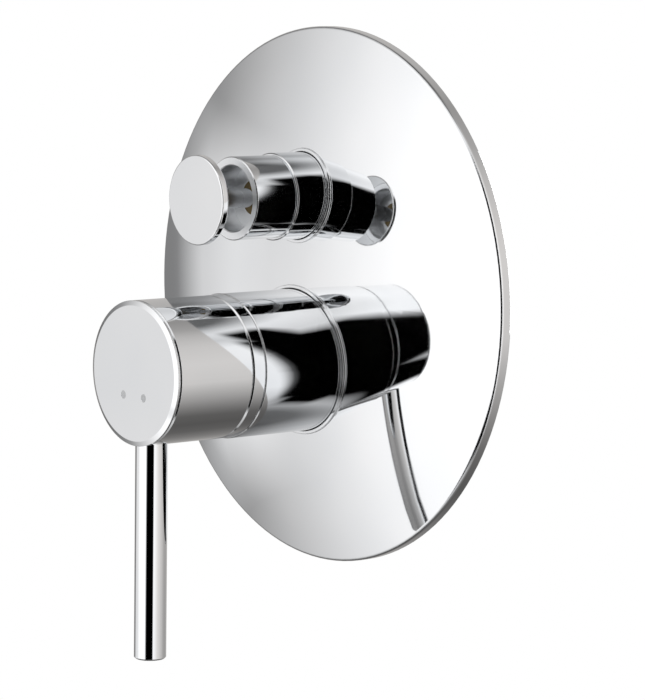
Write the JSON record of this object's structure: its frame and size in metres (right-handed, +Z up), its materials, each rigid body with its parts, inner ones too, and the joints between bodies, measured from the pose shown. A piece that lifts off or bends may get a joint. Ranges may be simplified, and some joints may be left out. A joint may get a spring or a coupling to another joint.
{
  "type": "concealed shower valve",
  "caption": "Concealed single-lever shower valve with a domed round cover plate, a turning and tilting handle with a pin lever, and a push-pull diverter",
  "frame": {"origin": "centre of the round cover plate, in the plane of the finished wall", "axes": "+X to the right of a person facing the valve, +Y into the wall, +Z up"},
  "size_m": [0.17, 0.116, 0.194],
  "materials": {
    "chrome": "polished chrome plating on brass",
    "brass": "cast and machined brass",
    "steel": "turned stainless steel",
    "white_plastic": "moulded acetal",
    "grey_plastic": "moulded glass-filled nylon",
    "disc_ceramic": "lapped alumina ceramic",
    "mark_enamel": "filled grey enamel",
    "seal_rubber": "moulded nitrile rubber",
    "foam": "closed-cell foam"
  },
  "bodies": {
    "root": {"cover_plate": "chrome", "wall_gasket": "foam", "mixer_bush": "white_plastic", "mixer_bush_ring": "seal_rubber", "diverter_bush": "white_plastic", "diverter_bush_ring": "seal_rubber", "mixer_sleeve": "chrome", "sleeve_ring": "seal_rubber", "dome_collar": "chrome", "cartridge_nut": "brass", "cartridge_housing": "white_plastic", "cartridge_base": "white_plastic", "base_seals": "seal_rubber", "fixed_disc": "disc_ceramic", "valve_body": "brass", "hot_strainer": "white_plastic", "cold_strainer": "white_plastic", "diverter_bonnet": "brass", "bonnet_ring": "seal_rubber", "stem_seal": "seal_rubber", "diverter_base_ring": "chrome", "diverter_shroud": "chrome", "diverter_cage": "white_plastic", "cage_seals": "seal_rubber"},
    "turret": {"turret": "grey_plastic", "spindle_pin": "steel"},
    "handle": {"handle": "chrome", "handle_cap": "chrome", "temperature_marks": "mark_enamel", "lever": "chrome", "handle_screw": "steel", "spindle": "steel"},
    "disc": {"moving_disc": "disc_ceramic", "disc_carrier": "grey_plastic"},
    "button": {"diverter_button": "chrome", "diverter_stem": "chrome", "diverter_piston": "brass", "piston_seal": "seal_rubber"}
  },
  "joints": [
    {"name": "mixer_turn", "type": "hinge", "parent": "root", "child": "turret", "pos_m": [0, 0, -0.02], "axis": [0, -1, 0], "range_deg": [-50, 50]},
    {"name": "mixer_lift", "type": "hinge", "parent": "turret", "child": "handle", "pos_m": [0, -0.025, -0.02], "axis": [-1, 0, 0], "range_deg": [0, 20]},
    {"name": "disc_slide", "type": "slide", "parent": "turret", "child": "disc", "axis": [0, 0, -1], "range_m": [0, 0.00394]},
    {"name": "diverter_push", "type": "slide", "parent": "root", "child": "button", "axis": [0, 1, 0], "range_m": [0, 0.008]}
  ],
  "couplings": [
    {"joint": "disc_slide", "follows": "mixer_lift", "m_per_rad": 0.011268}
  ]
}
